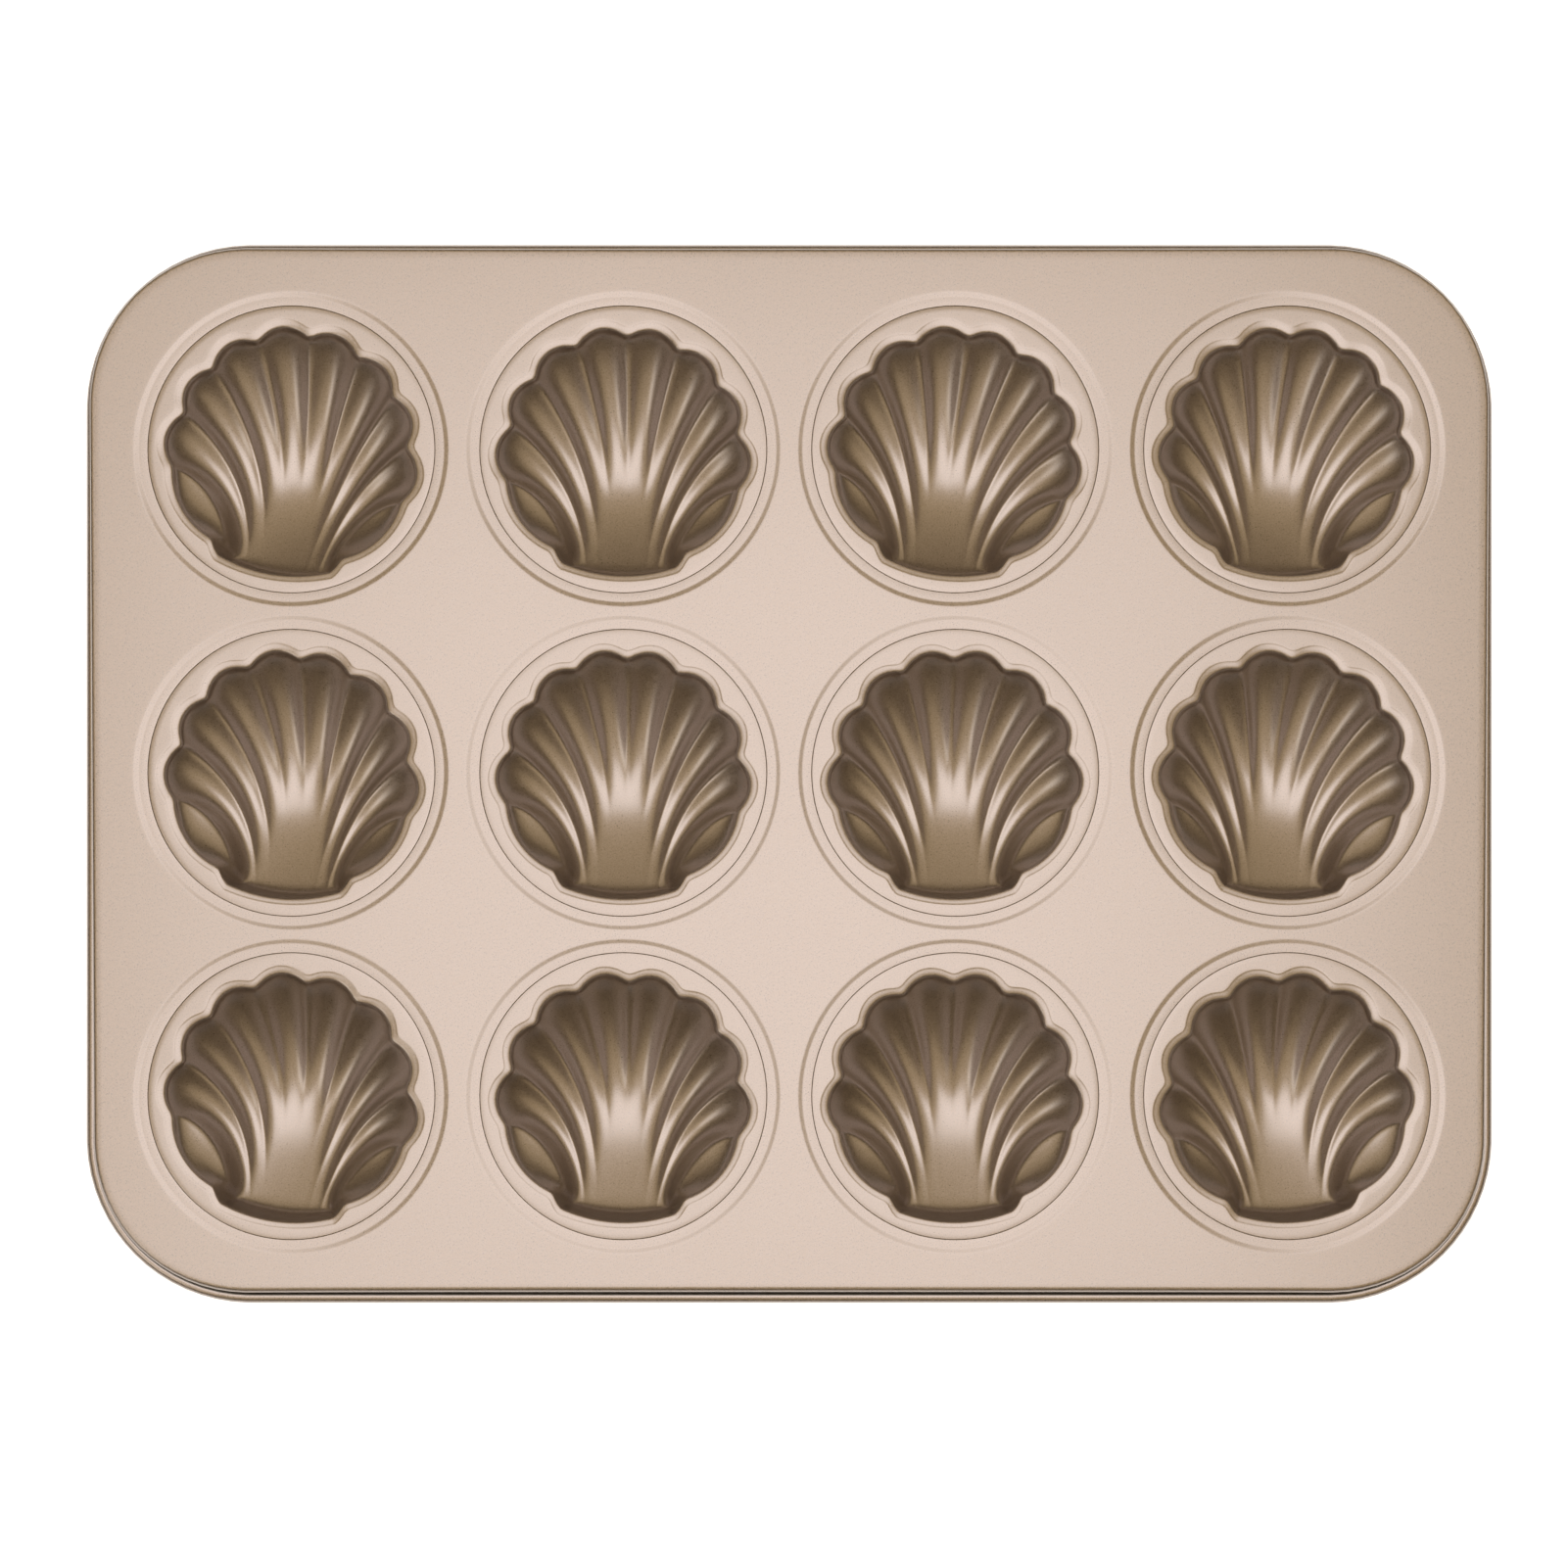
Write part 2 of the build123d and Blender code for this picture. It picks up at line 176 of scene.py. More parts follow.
coat = bpy.data.node_groups.new("release_coat", "ShaderNodeTree")
group_socket(coat, "Vector", "NodeSocketVector", "INPUT")
group_socket(coat, "Tone", "NodeSocketColor", "INPUT", (*coat_tone, 1))
group_socket(coat, "Grain", "NodeSocketFloat", "INPUT", 1.0)
group_socket(coat, "Cloud", "NodeSocketFloat", "INPUT", coat_cloud)
group_socket(coat, "Roughness", "NodeSocketFloat", "INPUT", coat_roughness)
group_socket(coat, "Color", "NodeSocketColor", "OUTPUT")
group_socket(coat, "Roughness", "NodeSocketFloat", "OUTPUT")
group_socket(coat, "Height", "NodeSocketFloat", "OUTPUT")
entry = coat.nodes.new("NodeGroupInput")
leave = coat.nodes.new("NodeGroupOutput")


def noise(tree, vector, scale, detail, roughness):
    """A noise texture's factor output, at a scale per metre."""
    node = tree.nodes.new("ShaderNodeTexNoise")
    node.inputs["Scale"].default_value = scale
    node.inputs["Detail"].default_value = detail
    node.inputs["Roughness"].default_value = roughness
    link(tree, vector, node.inputs["Vector"])
    return node.outputs["Fac"]


def shift(tree, factor, amount):
    """A factor's distance from its middle, one half, times an amount."""
    return math_node(tree, "MULTIPLY", math_node(tree, "SUBTRACT", factor, 0.5), amount)


fine = noise(coat, entry.outputs["Vector"], grain_scale, 2, 0.7)
cloudy = noise(coat, entry.outputs["Vector"], cloud_scale, 3, 0.5)
fine_shift = shift(coat, fine, entry.outputs["Grain"])
cloud_shift = shift(coat, cloudy, entry.outputs["Cloud"])
level = math_node(coat, "ADD", math_node(coat, "ADD", fine_shift, cloud_shift), 1.0)
gloss = math_node(coat, "MULTIPLY_ADD", fine_shift, gloss_share, entry.outputs["Roughness"])
tinted = coat.nodes.new("ShaderNodeVectorMath")
tinted.operation = "SCALE"
link(coat, entry.outputs["Tone"], tinted.inputs[0])
link(coat, level, tinted.inputs["Scale"])
link(coat, tinted.outputs["Vector"], leave.inputs["Color"])
link(coat, gloss, leave.inputs["Roughness"])
link(coat, fine, leave.inputs["Height"])


def coat_material(name, grain):
    """A coated steel finish: metallic lacquer whose colour, gloss and relief vary with the grain."""
    material = bpy.data.materials.new(name)
    material.use_nodes = True
    tree = material.node_tree
    shader = tree.nodes["Principled BSDF"]
    where = tree.nodes.new("ShaderNodeTexCoord")
    layer = tree.nodes.new("ShaderNodeGroup")
    layer.node_tree = coat
    link(tree, where.outputs["Object"], layer.inputs["Vector"])
    layer.inputs["Tone"].default_value = (*coat_tone, 1)
    layer.inputs["Grain"].default_value = grain
    layer.inputs["Cloud"].default_value = coat_cloud
    layer.inputs["Roughness"].default_value = coat_roughness
    relief = tree.nodes.new("ShaderNodeBump")
    relief.inputs["Strength"].default_value = relief_strength
    relief.inputs["Distance"].default_value = relief_depth
    link(tree, layer.outputs["Height"], relief.inputs["Height"])
    link(tree, layer.outputs["Color"], shader.inputs["Base Color"])
    link(tree, layer.outputs["Roughness"], shader.inputs["Roughness"])
    link(tree, relief.outputs["Normal"], shader.inputs["Normal"])
    shader.inputs["Metallic"].default_value = metal_share
    shader.inputs["Coat Weight"].default_value = 1.0
    shader.inputs["Coat IOR"].default_value = lacquer_index
    shader.inputs["Coat Roughness"].default_value = lacquer_roughness
    return material


# Tray: one pressed sheet of coated steel, 0.5 mm thick, with a round seat for each
# cup, a collar folded down and in under the cup's hem, and an edge that is turned
# down and curled round a wire.
pan_length = 350.0
pan_width = 263.5
tray_gauge = 0.5
corner_radius = 41.0
columns = 4
rows = 3
column_pitch = 82.1
row_pitch = 80.0
cup_turns = ((8.8, 2.1, 6.8, 1.9), (4.2, 1.9, -0.3, 2.8), (7.5, 2.8, -0.5, -3.9))
seat_drop = 0.3
seat_step_radius = 37.8
seat_step_width = 1.1
seat_step_bend = 2.0
seat_rim_width = 0.8
seam_radius = 35.5
seam_gap = 0.06
seam_edge_radius = 0.12
cup_gauge = 0.4
hem_depth = 3.8
hem_return = 1.6
fold_clearance = 0.1
bend_radius = 0.15
wire_diameter = 2.3
wire_clearance = 0.05
edge_lean = 0.45
edge_lean_back = 0.8
edge_lean_side = 0.45
edge_bend_radius = 1.5
edge_flat_width = 2.1
curl_centre_drop = 4.9
curl_gap = 0.8
arc_steps = 4
bend_steps = 8
curl_steps = 25
side_steps = 22
ring_share = 0.1
skirt_margin = 0.4
edge_tolerance = 1e-6
crease_angle = math.radians(50)

land_height = plate_top / mm - seat_drop
hem_inside = seam_radius - seam_gap / 2 - 2 * cup_gauge - 2 * bend_radius
collar_radius = seam_radius + seam_gap / 2
curl_inside = wire_diameter / 2 + wire_clearance
curl_outside = curl_inside + tray_gauge
skirt_inset = curl_outside + curl_inside
flat_inset = skirt_inset + edge_bend_radius + edge_flat_width


def bent_line(corners, steps):
    """A bent line through corners (x, y, radius): straight runs joined by arcs of the given radii.
    An arc starts and ends at radius * tan(half the turn) from its corner and has `steps` chords."""
    pieces = [np.array([corners[0][:2]], float)]
    for before, corner, after in zip(corners, corners[1:], corners[2:]):
        here = np.array(corner[:2], float)
        into = here - np.array(before[:2])
        out = np.array(after[:2]) - here
        into /= np.hypot(*into)
        out /= np.hypot(*out)
        turn = math.atan2(into[0] * out[1] - into[1] * out[0], into @ out)
        reach = corner[2] * math.tan(abs(turn) / 2)
        side = np.array([-into[1], into[0]]) * math.copysign(1, turn)
        centre = here - into * reach + side * corner[2]
        swing = np.linspace(0, abs(turn), steps + 1)[:, None]
        pieces.append(centre - side * corner[2] * np.cos(swing) + into * corner[2] * np.sin(swing))
    pieces.append(np.array([corners[-1][:2]], float))
    return np.concatenate(pieces)


def grid_quads(down, across, first):
    """Faces of a grid of points numbered row by row; each runs along a row's step first, then down."""
    index = first + np.arange(down * across).reshape(down, across)
    corners = (index[:-1, :-1], index[:-1, 1:], index[1:, 1:], index[1:, :-1])
    return np.stack(corners, axis=-1).reshape(-1, 4)


def merge(points, quads, digits):
    """Points and faces with the points that are equal to so many digits made one."""
    rounded = np.round(points, digits)
    _, first, number = np.unique(rounded, axis=0, return_index=True, return_inverse=True)
    return points[first], number.reshape(-1)[quads]


def weld(grids):
    """Joins grids of points (rows, columns, 3) into one list of points and faces, merging equal points."""
    points = np.concatenate([grid.reshape(-1, 3) for grid in grids])
    starts = np.cumsum([0] + [grid.shape[0] * grid.shape[1] for grid in grids])
    quads = np.concatenate([grid_quads(*grid.shape[:2], start) for grid, start in zip(grids, starts)])
    return merge(points, quads, 4)


def free_edges(quads, count):
    """Start and end of each edge that only one face uses, along that face; count is above any number."""
    start = quads.ravel()
    end = np.roll(quads, -1, axis=1).ravel()
    free = ~np.isin(start * count + end, end * count + start)
    return start[free], end[free]


def sheet_solid(points, quads, gauge):
    """A sheet of even gauge behind a surface: each point is carried back along its normal, the mean
    of its faces' area vectors, by gauge; open edges are closed with a strip."""
    corners = points[quads]
    area = np.cross(corners[:, 2] - corners[:, 0], corners[:, 3] - corners[:, 1])
    area /= np.maximum(np.linalg.norm(area, axis=1, keepdims=True), 1e-12)
    normal = np.zeros_like(points)
    for k in range(4):
        np.add.at(normal, quads[:, k], area)
    normal /= np.linalg.norm(normal, axis=1, keepdims=True)
    count = len(points)
    start, end = free_edges(quads, count)
    strip = np.stack([end, start, start + count, end + count], axis=1)
    both_sides = np.concatenate([points, points - normal * gauge])
    return both_sides, np.concatenate([quads, quads[:, ::-1] + count, strip])


def cell_side(low, high):
    """Places along a cell's side, spaced by equal angles as seen from the cell's middle."""
    angles = np.linspace(-math.pi / 4, math.pi / 4, side_steps + 1)
    return (low + high) / 2 + (high - low) / 2 * np.tan(angles)


flat_half = np.array([pan_length / 2 - flat_inset, pan_width / 2 - flat_inset])
flat_radius = corner_radius - flat_inset


def corner_centres(points):
    """For points on the sharp rectangle of the flat, the middles that its rounded corners turn about,
    and the unit vectors away from them."""
    centre = np.clip(points, flat_radius - flat_half, flat_half - flat_radius)
    away = points - centre
    return centre, away / np.maximum(np.linalg.norm(away, axis=-1, keepdims=True), 1e-12)


def lattice(count, pitch, half):
    """Lines between neighbouring cups, with the edges of the flat as first and last."""
    lines = (np.arange(count + 1) - count / 2) * pitch
    lines[0], lines[-1] = -half, half
    return lines


seat_line = bent_line([
    (seat_step_radius + seat_step_width + seat_rim_width, seat_drop, 0),
    (seat_step_radius + seat_step_width, seat_drop, seat_step_bend),
    (seat_step_radius, 0, seat_step_bend),
    (collar_radius, 0, seam_edge_radius),
    (collar_radius, -hem_depth - fold_clearance, bend_radius),
    (hem_inside - fold_clearance, -hem_depth - fold_clearance, bend_radius),
    (hem_inside - fold_clearance, -hem_depth + hem_return + fold_clearance, bend_radius),
    (hem_inside + cup_gauge, -hem_depth + hem_return + fold_clearance, 0),
], arc_steps)
x_lines = lattice(columns, column_pitch, flat_half[0])
y_lines = lattice(rows, row_pitch, flat_half[1])
tray_grids = []
for row in range(rows):
    for column in range(columns):
        x = cell_side(x_lines[column], x_lines[column + 1])
        y = cell_side(y_lines[row], y_lines[row + 1])
        loop = np.concatenate([
            np.stack([x, np.full_like(x, y[-1])], axis=1)[:-1],
            np.stack([np.full_like(y, x[-1]), y[::-1]], axis=1)[:-1],
            np.stack([x[::-1], np.full_like(x, y[0])], axis=1)[:-1],
            np.stack([np.full_like(y, x[0]), y], axis=1),
        ])
        on_edge = np.any(np.abs(np.abs(loop) - flat_half) < edge_tolerance, axis=1)
        centre, away = corner_centres(loop)
        loop[on_edge] = (centre + away * flat_radius)[on_edge]
        middle = np.array([
            (column - (columns - 1) / 2) * column_pitch,
            (row - (rows - 1) / 2) * row_pitch,
        ])
        spoke = loop - middle
        spoke /= np.linalg.norm(spoke, axis=1, keepdims=True)
        rings = middle + spoke[:, None, :] * seat_line[None, :, :1]
        height = np.broadcast_to(seat_line[None, :, 1:], (*rings.shape[:2], 1))
        seat = np.concatenate([rings, height], axis=2)
        rim = np.concatenate([loop, np.full((len(loop), 1), seat_drop)], axis=1)[:, None, :]
        inner = seat[:, :1]
        near = rim + (inner - rim) * ring_share
        close = rim + (inner - rim) * (1 - ring_share)
        tray_grids.append(np.concatenate([rim, near, close, seat], axis=1))

bend_turn = np.linspace(math.pi / 2, math.pi, bend_steps + 1)
opening = math.acos((curl_inside - curl_gap) / curl_outside)
curl_turn = np.linspace(0, opening - 2 * math.pi, curl_steps + 1)
edge_line = np.concatenate([
    [[flat_inset, 0], [flat_inset - edge_flat_width / 2, 0]],
    np.stack([
        skirt_inset + edge_bend_radius + edge_bend_radius * np.cos(bend_turn),
        edge_bend_radius * (np.sin(bend_turn) - 1),
    ], axis=1),
    [[skirt_inset, -edge_bend_radius - skirt_margin], [skirt_inset, -curl_centre_drop + skirt_margin]],
    np.stack([
        curl_outside + curl_inside * np.cos(curl_turn),
        -curl_centre_drop + curl_inside * np.sin(curl_turn),
    ], axis=1),
])
x_edge = np.concatenate([cell_side(low, high)[:-1] for low, high in zip(x_lines, x_lines[1:])])
y_edge = np.concatenate([cell_side(low, high)[:-1] for low, high in zip(y_lines, y_lines[1:])])
outline = np.concatenate([
    np.stack([x_edge, np.full_like(x_edge, y_lines[-1])], axis=1),
    np.stack([np.full_like(y_edge, x_lines[-1]), -y_edge], axis=1),
    np.stack([-x_edge, np.full_like(x_edge, y_lines[0])], axis=1),
    np.stack([np.full_like(y_edge, x_lines[0]), y_edge], axis=1),
    [[x_lines[0], y_lines[-1]]],
])
centre, away = corner_centres(outline)
x_share, y_share = (outline / flat_half).T
lean = edge_lean + edge_lean_back * y_share + edge_lean_side * x_share**4
on_flat = (flat_inset - edge_line[:, 0]) / edge_flat_width
on_skirt = 1 + edge_line[:, 1] / curl_centre_drop
leaning = np.clip(np.minimum(on_flat, on_skirt), 0, 1)
leaning[-len(curl_turn):] = 0
edge_reach = corner_radius - edge_line[None, :, 0] + lean[:, None] * leaning[None, :]
edge_plan = centre[:, None, :] + away[:, None, :] * edge_reach[..., None]
edge_height = np.broadcast_to(edge_line[None, :, 1:] + seat_drop, (*edge_plan.shape[:2], 1))
tray_grids.append(np.concatenate([edge_plan, edge_height], axis=2)[:, ::-1])
tray_points, tray_quads = weld(tray_grids)
tray_points, tray_quads = sheet_solid(tray_points, tray_quads, tray_gauge)
tray_points[:, 2] += land_height
tray = make_object("tray", make_mesh("tray", tray_points, tray_quads))
tray.data.set_sharp_from_angle(angle=crease_angle)
tray.data.materials.append(coat_material("tray_coat", 1.4))
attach(tray, "root")
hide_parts("tray_sheet")


# Shell cups: thin pressed steel shells with eight flutes that gather at the hinge
# end, an ear on each side of it, and a round flange whose edge is hemmed. All are
# struck in one die, so one surface is worked out and set into each seat at its turn.
cup_depth = 18.5
lobes = 8
fan_half_angle = 106.4
notch_radius = 28.4
last_notch_radius = 30.4
lobe_bulge = 3.65
ear_angle = 146.9
ear_radius = 29.8
ear_bulge = 3.0
hinge_angle = 153.6
hinge_radius = 32.0
hinge_side_bulge = 0.3
hinge_end_bulge = 2.7
hinge_floor_half = 12.0
hinge_floor_y = -27.8
hinge_floor_bow = 1.7
bowl_y = -3.0
bowl_power = 0.7
cone_share = 0.2
cone_bend = 0.4
hinge_rise = 0.42
hinge_bend = 0.5
flute_spread = 14.5
flute_flare = 3.0
flute_reach = 2.0
flute_fall = 11.5
ridge_heights = (2.9, 2.9, 2.9, 3.1)
ridge_ends = (0.8, 0.82, 0.94, 1.0)
ridge_power = 2.5
ear_ridge_height = 5.0
ear_hollow_depth = 0.3
ear_hollow_share = 0.08
flange_radius = 34.0
roll_line = (
    (1.6, 0), (1.4, 0.05), (1.15, 0.14), (0.6, 0.22),
    (0, 0.34), (-0.5, 0.52), (-0.85, 0.9), (-1.05, 1.4),
)
hinge_roll_share = 0.4
roll_share = 0.16
wall_share = 0.28
hinge_share = 0.927
ear_rise_share = 0.62
wall_steps = 3
bowl_steps = 12
hem_steps = 3
smooth_levels = 2


def direction(angle):
    """Unit vector at a clockwise angle in degrees from +Y."""
    return np.array([math.sin(math.radians(angle)), math.cos(math.radians(angle))])


def arc_points(start, end, bulge, shares):
    """Points on the arc through start and end that stands out from its chord by bulge, to the left."""
    chord = end - start
    half = np.hypot(*chord) / 2
    radius = (half**2 + bulge**2) / (2 * bulge)
    along = chord / (2 * half)
    outward = np.array([-along[1], along[0]])
    middle = (start + end) / 2 + outward * (bulge - radius)
    turn = math.asin(min(half / radius, 1.0)) * (2 * shares - 1)
    return middle + radius * (np.outer(np.sin(turn), along) + np.outer(np.cos(turn), outward))


def shell_outline(segment, index, shares, grow):
    """Points on one segment of the shell's outline, clockwise: a lobe, an ear, the hinge's side or end."""
    def notch(number):
        radius = last_notch_radius if number in (0, lobes) else notch_radius
        return direction(fan_half_angle * (2 * number / lobes - 1)) * (radius + grow)

    ear = direction(ear_angle) * (ear_radius + grow)
    corner = direction(hinge_angle) * (hinge_radius + grow)
    if segment == "lobe":
        return arc_points(notch(index), notch(index + 1), lobe_bulge, shares)
    if segment == "ear":
        return arc_points(notch(lobes), ear, ear_bulge, shares)
    if segment == "side":
        return arc_points(ear, corner, hinge_side_bulge, shares)
    along_end = (lobes - 1 - index + shares) / lobes
    return arc_points(corner, corner * np.array([-1, 1]), hinge_end_bulge, along_end)


def rounded_cone(share, bend):
    """A cone's rise from 0 at its tip to 1, sqrt(share^2 + bend^2), with a tip of the given bend."""
    return (np.sqrt(share**2 + bend**2) - bend) / (math.sqrt(1 + bend**2) - bend)


def ridge_height(number, along):
    """Height of a ridge over the floor, numbered out from the middle: x(1 - x)^2 scaled to its peak,
    or for the last one, beside the ear, a sine-squared rise that holds to the hinge."""
    if number == lobes // 2:
        start = np.clip((along - wall_share / 2) / ear_rise_share, 0, 1)
        fall = np.minimum((1 - along) / (1 - hinge_share), 1)
        return ear_ridge_height * np.sin(start * math.pi / 2) ** 2 * fall
    x = np.minimum(along / ridge_ends[number], 1) ** 2
    return ridge_heights[number] * 27 / 4 * x * (1 - x) ** 2


def fan_points(index, shares, along):
    """Points in one flute: plan on quadratic curves from the lip to the hinge end; depth a bowl,
    part cone and part (1 - r^2)^power, that rises to the hinge, less the ridges beside the flute."""
    lip = shell_outline("lobe", index, shares, 0)[:, None, :]
    across = 2 * (index + shares) / lobes - 1
    pull_x = flute_spread * across + flute_flare * across**5
    pull = np.stack([pull_x, flute_reach - flute_fall * across**2], axis=-1)[:, None, :]
    end_y = hinge_floor_y - hinge_floor_bow * (1 - across**2)
    end = np.stack([hinge_floor_half * across, end_y], axis=-1)
    t = (along**2)[None, :, None]
    plan = (1 - t) ** 2 * lip + 2 * t * (1 - t) * pull + t**2 * end[:, None, :]
    reach = np.hypot(lip[..., 0], np.maximum(lip[..., 1] - bowl_y, 0))
    radius = np.hypot(plan[..., 0], np.maximum(plan[..., 1] - bowl_y, 0)) / reach
    below = np.minimum(plan[..., 1] - bowl_y, 0) / (hinge_floor_y - bowl_y)
    rise = hinge_rise * rounded_cone(below, hinge_bend)
    round_share = np.maximum(1 - radius**2, 0) ** bowl_power
    hollow = cone_share * (1 - rounded_cone(radius, cone_bend)) + (1 - cone_share) * round_share
    bowl = cup_depth * hollow * (1 - rise)
    left = ridge_height(abs(index - lobes // 2), along)[None, :]
    right = ridge_height(abs(index + 1 - lobes // 2), along)[None, :]
    share = shares[:, None]
    ridge = left * (1 - share) ** ridge_power + right * share**ridge_power
    return np.concatenate([plan, (ridge - bowl)[..., None]], axis=-1)


def wall_points(segment, index, shares, down, foot, hump_share):
    """Points on a wall from the outline to a foot line: each column is the fan's last ridge line,
    turned and scaled to join its own top and foot. An ear's wall is hollowed by x^3(1 - x), scaled
    to its peak, times half a sine wave along the ear."""
    along_end = (lobes - 1 - index + shares) / lobes
    lean = 1 - 2 * along_end if segment == "end" else np.ones(len(shares))
    along = roll_share + (wall_share - roll_share) * down
    ear_line = fan_points(lobes - 1, np.array([1.0]), np.append(along, 0.0))[0]
    ear_plan = ear_line[:, 0] + 1j * ear_line[:, 1]
    inward = (ear_plan[:-1] - ear_plan[-1]) / (ear_plan[-2] - ear_plan[-1])
    inward = inward.real[None, :] + 1j * lean[:, None] * inward.imag[None, :]
    hump = (np.sin(math.pi * shares) * hump_share)[:, None] * (256 / 27 * down**3 * (1 - down))[None, :]
    top = shell_outline(segment, index, shares, 0) @ np.array([1, 1j])
    bottom = foot[:, :2] @ np.array([1, 1j])
    plan = top[:, None] + (bottom - top)[:, None] * (inward + ear_hollow_share * hump)
    depth = ear_line[:-1, 2] / ear_line[-2, 2] * -foot[:, None, 2] + ear_hollow_depth * hump
    return np.stack([plan.real, plan.imag, -depth], axis=-1)


def roll_and_flange(segment, index, shares, wall_top):
    """Points from the flange's round edge over the rolled lip to the wall's top: the lip is the
    outline grown and lowered by each pair of the roll line, with less of its inward part at the
    hinge; along an ear it passes from one to the other."""
    tightness = shares if segment == "ear" else np.full(len(shares), float(segment != "lobe"))
    rings = []
    for grow, drop in roll_line:
        wide = shell_outline(segment, index, shares, grow)
        tight = shell_outline(segment, index, shares, max(grow, grow * hinge_roll_share))
        ring = wide + (tight - wide) * tightness[:, None]
        rings.append(np.concatenate([ring, np.full((len(shares), 1), -drop)], axis=1))
    roll = np.stack(rings, axis=1)
    outer = roll[:, :1] * flange_radius / np.linalg.norm(roll[:, :1], axis=-1, keepdims=True)
    return np.concatenate([outer, roll, wall_top[:, None, :]], axis=1)


across_shares = np.array([0, 0.18, 0.4, 0.6, 0.82, 1.0])
down_shares = np.linspace(0, 1, wall_steps + 1)
wall_places = roll_share + (wall_share - roll_share) * down_shares
bowl_places = np.linspace(wall_share, hinge_share, bowl_steps + 1)
hinge_places = np.array([hinge_share, (hinge_share + 1) / 2, 1.0])
flute_places = np.concatenate([wall_places, bowl_places[1:], hinge_places[1:]])
cage_grids = []
for index in range(lobes):
    fan = fan_points(index, across_shares, flute_places)
    cage_grids.append(fan)
    cage_grids.append(roll_and_flange("lobe", index, across_shares, fan[:, 0]))
    foot = fan_points(index, across_shares[::-1], np.array([1.0]))[:, 0]
    wall = wall_points("end", index, across_shares, down_shares, foot, 0)
    cage_grids.append(wall)
    cage_grids.append(roll_and_flange("end", index, across_shares, wall[:, 0]))
for segment, places, hump_share in (("ear", bowl_places, 1), ("side", hinge_places, 0)):
    shares = (places - places[0]) / (places[-1] - places[0])
    foot = fan_points(lobes - 1, np.array([1.0]), places)[0]
    wall = wall_points(segment, 0, shares, down_shares, foot, hump_share)
    for grid in (wall, roll_and_flange(segment, 0, shares, wall[:, 0])):
        cage_grids.append(grid)
        cage_grids.append(grid[::-1] * np.array([-1, 1, 1]))

cage = make_object("cup_cage", make_mesh("cup_cage", *weld(cage_grids)))
smooth = cage.modifiers.new("smooth", "SUBSURF")
smooth.levels = smooth.render_levels = smooth_levels
evaluated = cage.evaluated_get(bpy.context.evaluated_depsgraph_get())
fine_mesh = bpy.data.meshes.new_from_object(evaluated)
shell_points = np.zeros(len(fine_mesh.vertices) * 3)
fine_mesh.vertices.foreach_get("co", shell_points)
shell_points = shell_points.reshape(-1, 3) / mm
shell_quads = np.zeros(len(fine_mesh.loops), int)
fine_mesh.loops.foreach_get("vertex_index", shell_quads)
shell_quads = shell_quads.reshape(-1, 4)
bpy.data.objects.remove(cage)
bpy.data.meshes.remove(fine_mesh)

round_edge = free_edges(shell_quads, len(shell_points))[0]
edge_points = shell_points[round_edge, :2]
edge_angle = np.arctan2(edge_points[:, 0], edge_points[:, 1])
shell_points[round_edge, 0] = flange_radius * np.sin(edge_angle)
shell_points[round_edge, 1] = flange_radius * np.cos(edge_angle)
hem_outer = seam_radius - seam_gap / 2
hem_bend = cup_gauge + bend_radius / 2
hem_line = bent_line([
    (hem_inside, -hem_depth + hem_return, 0),
    (hem_inside, -hem_depth, hem_bend),
    (hem_outer, -hem_depth, hem_bend),
    (hem_outer, 0, seam_edge_radius),
    (flange_radius, 0, 0),
], hem_steps)
hem_angle = np.sort(edge_angle)
hem_angle = np.append(hem_angle, hem_angle[0] + 2 * math.pi)[:, None]
hem_radius = np.broadcast_to(hem_line[:, 0], (len(hem_angle), len(hem_line)))
hem_height = np.broadcast_to(hem_line[:, 1], hem_radius.shape)
hem_grid = np.stack([hem_radius * np.sin(hem_angle), hem_radius * np.cos(hem_angle), hem_height], axis=-1)
hem_points, hem_quads = weld([hem_grid])
joined = np.concatenate([shell_points, hem_points])
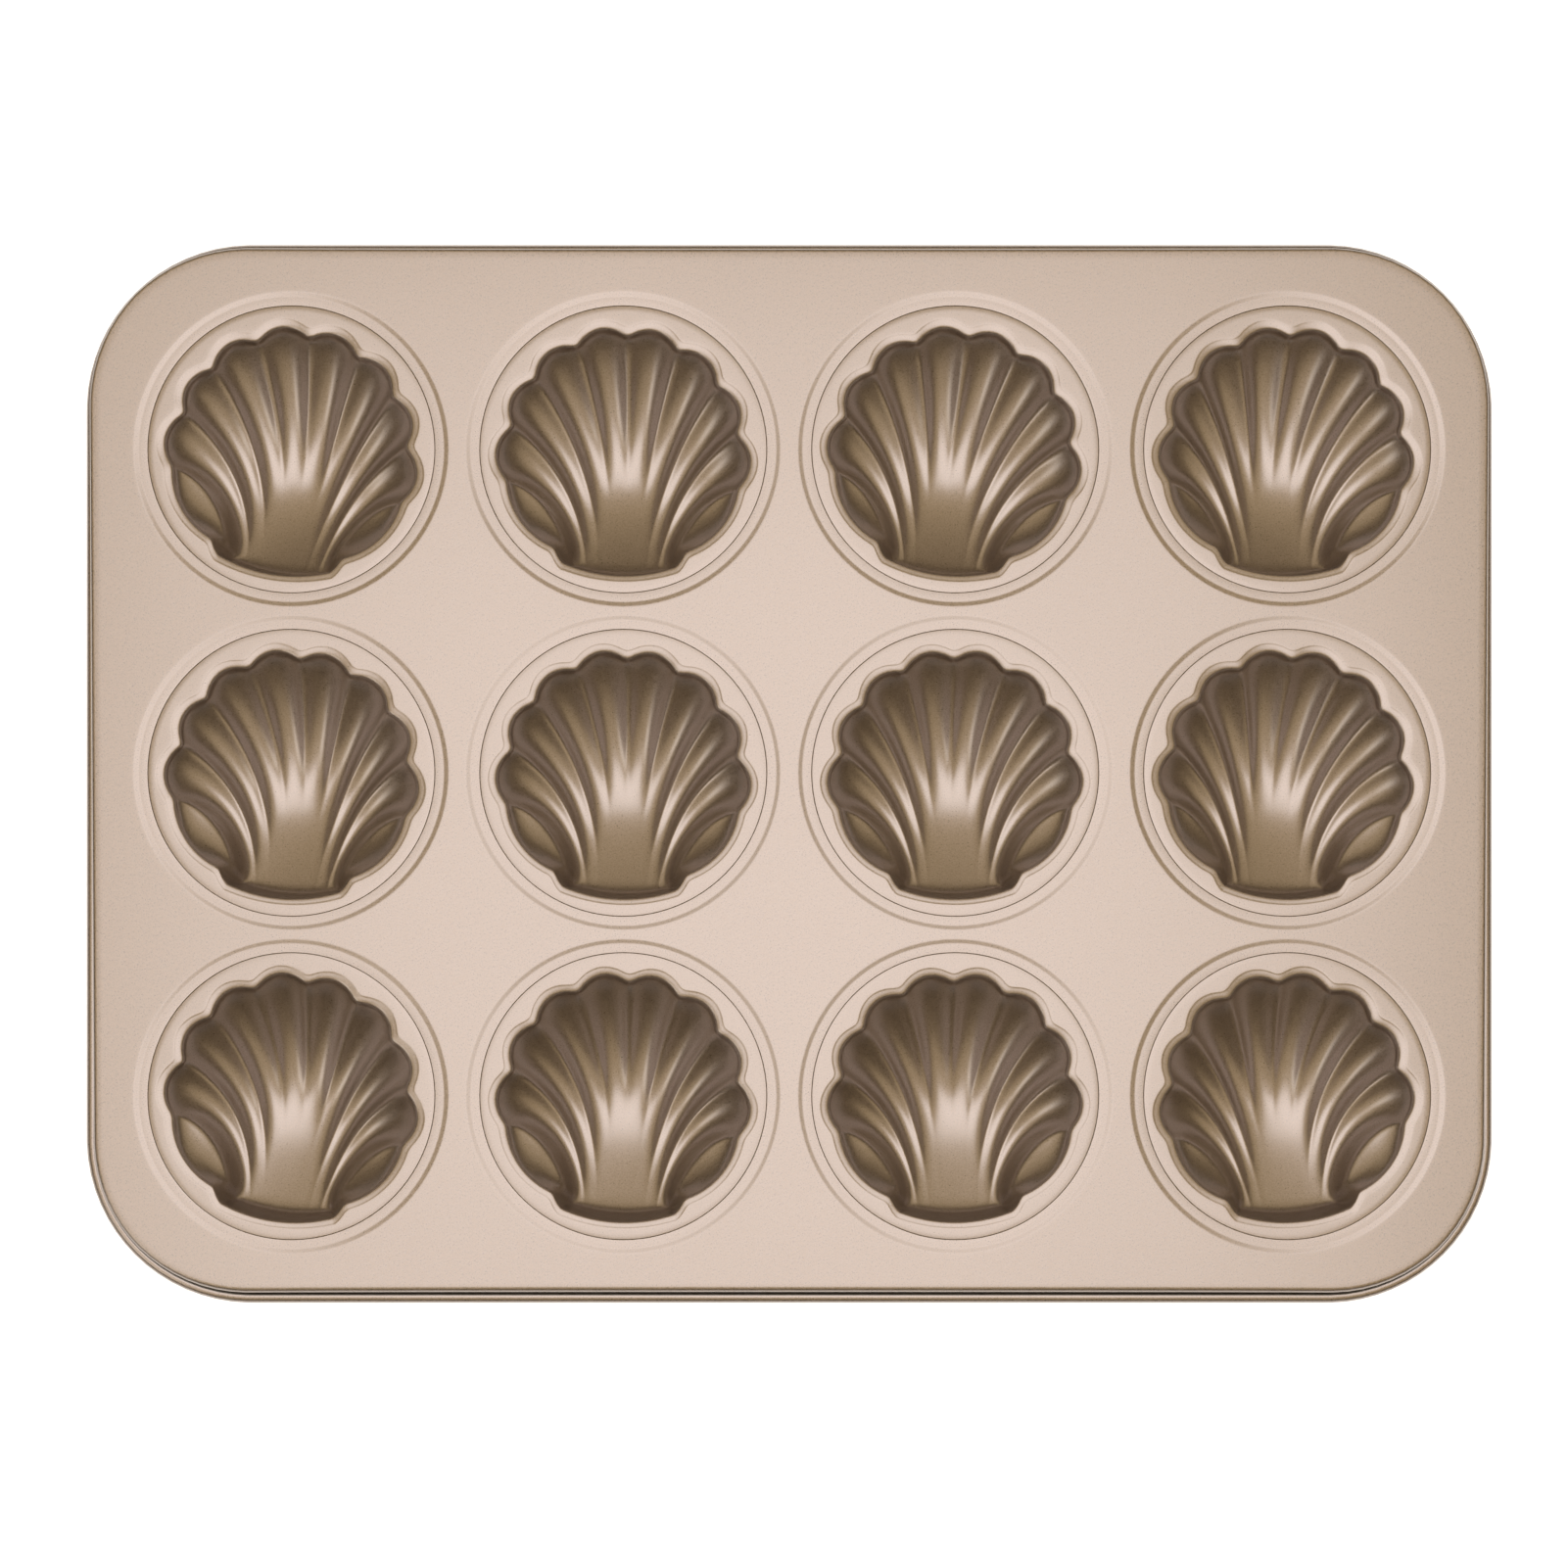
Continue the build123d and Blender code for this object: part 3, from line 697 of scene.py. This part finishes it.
cup_quads = np.concatenate([shell_quads, hem_quads + len(shell_points)])
cup_points, cup_quads = merge(joined, cup_quads, 3)
cup_points, cup_quads = sheet_solid(cup_points, cup_quads, cup_gauge)

cup_coat = coat_material("cup_coat", 1.1)
for row, turns in enumerate(cup_turns):
    for column, turn in enumerate(turns):
        angle = math.radians(turn)
        x = cup_points[:, 0] * math.cos(angle) + cup_points[:, 1] * math.sin(angle)
        y = cup_points[:, 1] * math.cos(angle) - cup_points[:, 0] * math.sin(angle)
        placed = np.stack([
            x + (column - (columns - 1) / 2) * column_pitch,
            y + ((rows - 1) / 2 - row) * row_pitch,
            cup_points[:, 2] + land_height,
        ], axis=1)
        name = f"cup_r{row + 1}c{column + 1}"
        cup = make_object(name, make_mesh(name, placed, cup_quads))
        cup.data.set_sharp_from_angle(angle=crease_angle)
        cup.data.materials.append(cup_coat)
        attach(cup, "root")
        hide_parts(f"shell_cup_r{row + 1}c{column + 1}")


# Rim wire: plain drawn steel wire, bent to the tray's outline and closed inside the
# curl. Only a thin line of it can be seen through the slit along the curl's edge.
steel_dark = (0.10, 0.095, 0.09, 1)
steel_bright = (0.22, 0.21, 0.20, 1)
streak_scale = 900
gloss_range = 0.2
gloss_start = 0.3
wire_steel = bpy.data.materials.new("wire_steel")
wire_steel.use_nodes = True
tree = wire_steel.node_tree
shader = tree.nodes["Principled BSDF"]
where = tree.nodes.new("ShaderNodeTexCoord")
streak = noise(tree, where.outputs["Object"], streak_scale, 3, 0.6)
steel_tone = tree.nodes.new("ShaderNodeMix")
steel_tone.data_type = "RGBA"
steel_tone.inputs["A"].default_value = steel_dark
steel_tone.inputs["B"].default_value = steel_bright
link(tree, streak, steel_tone.inputs["Factor"])
link(tree, steel_tone.outputs["Result"], shader.inputs["Base Color"])
gloss = math_node(tree, "MULTIPLY_ADD", streak, gloss_range, gloss_start)
link(tree, gloss, shader.inputs["Roughness"])
shader.inputs["Metallic"].default_value = 1.0
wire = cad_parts["rim_wire"]
wire.data.materials.clear()
wire.data.materials.append(wire_steel)
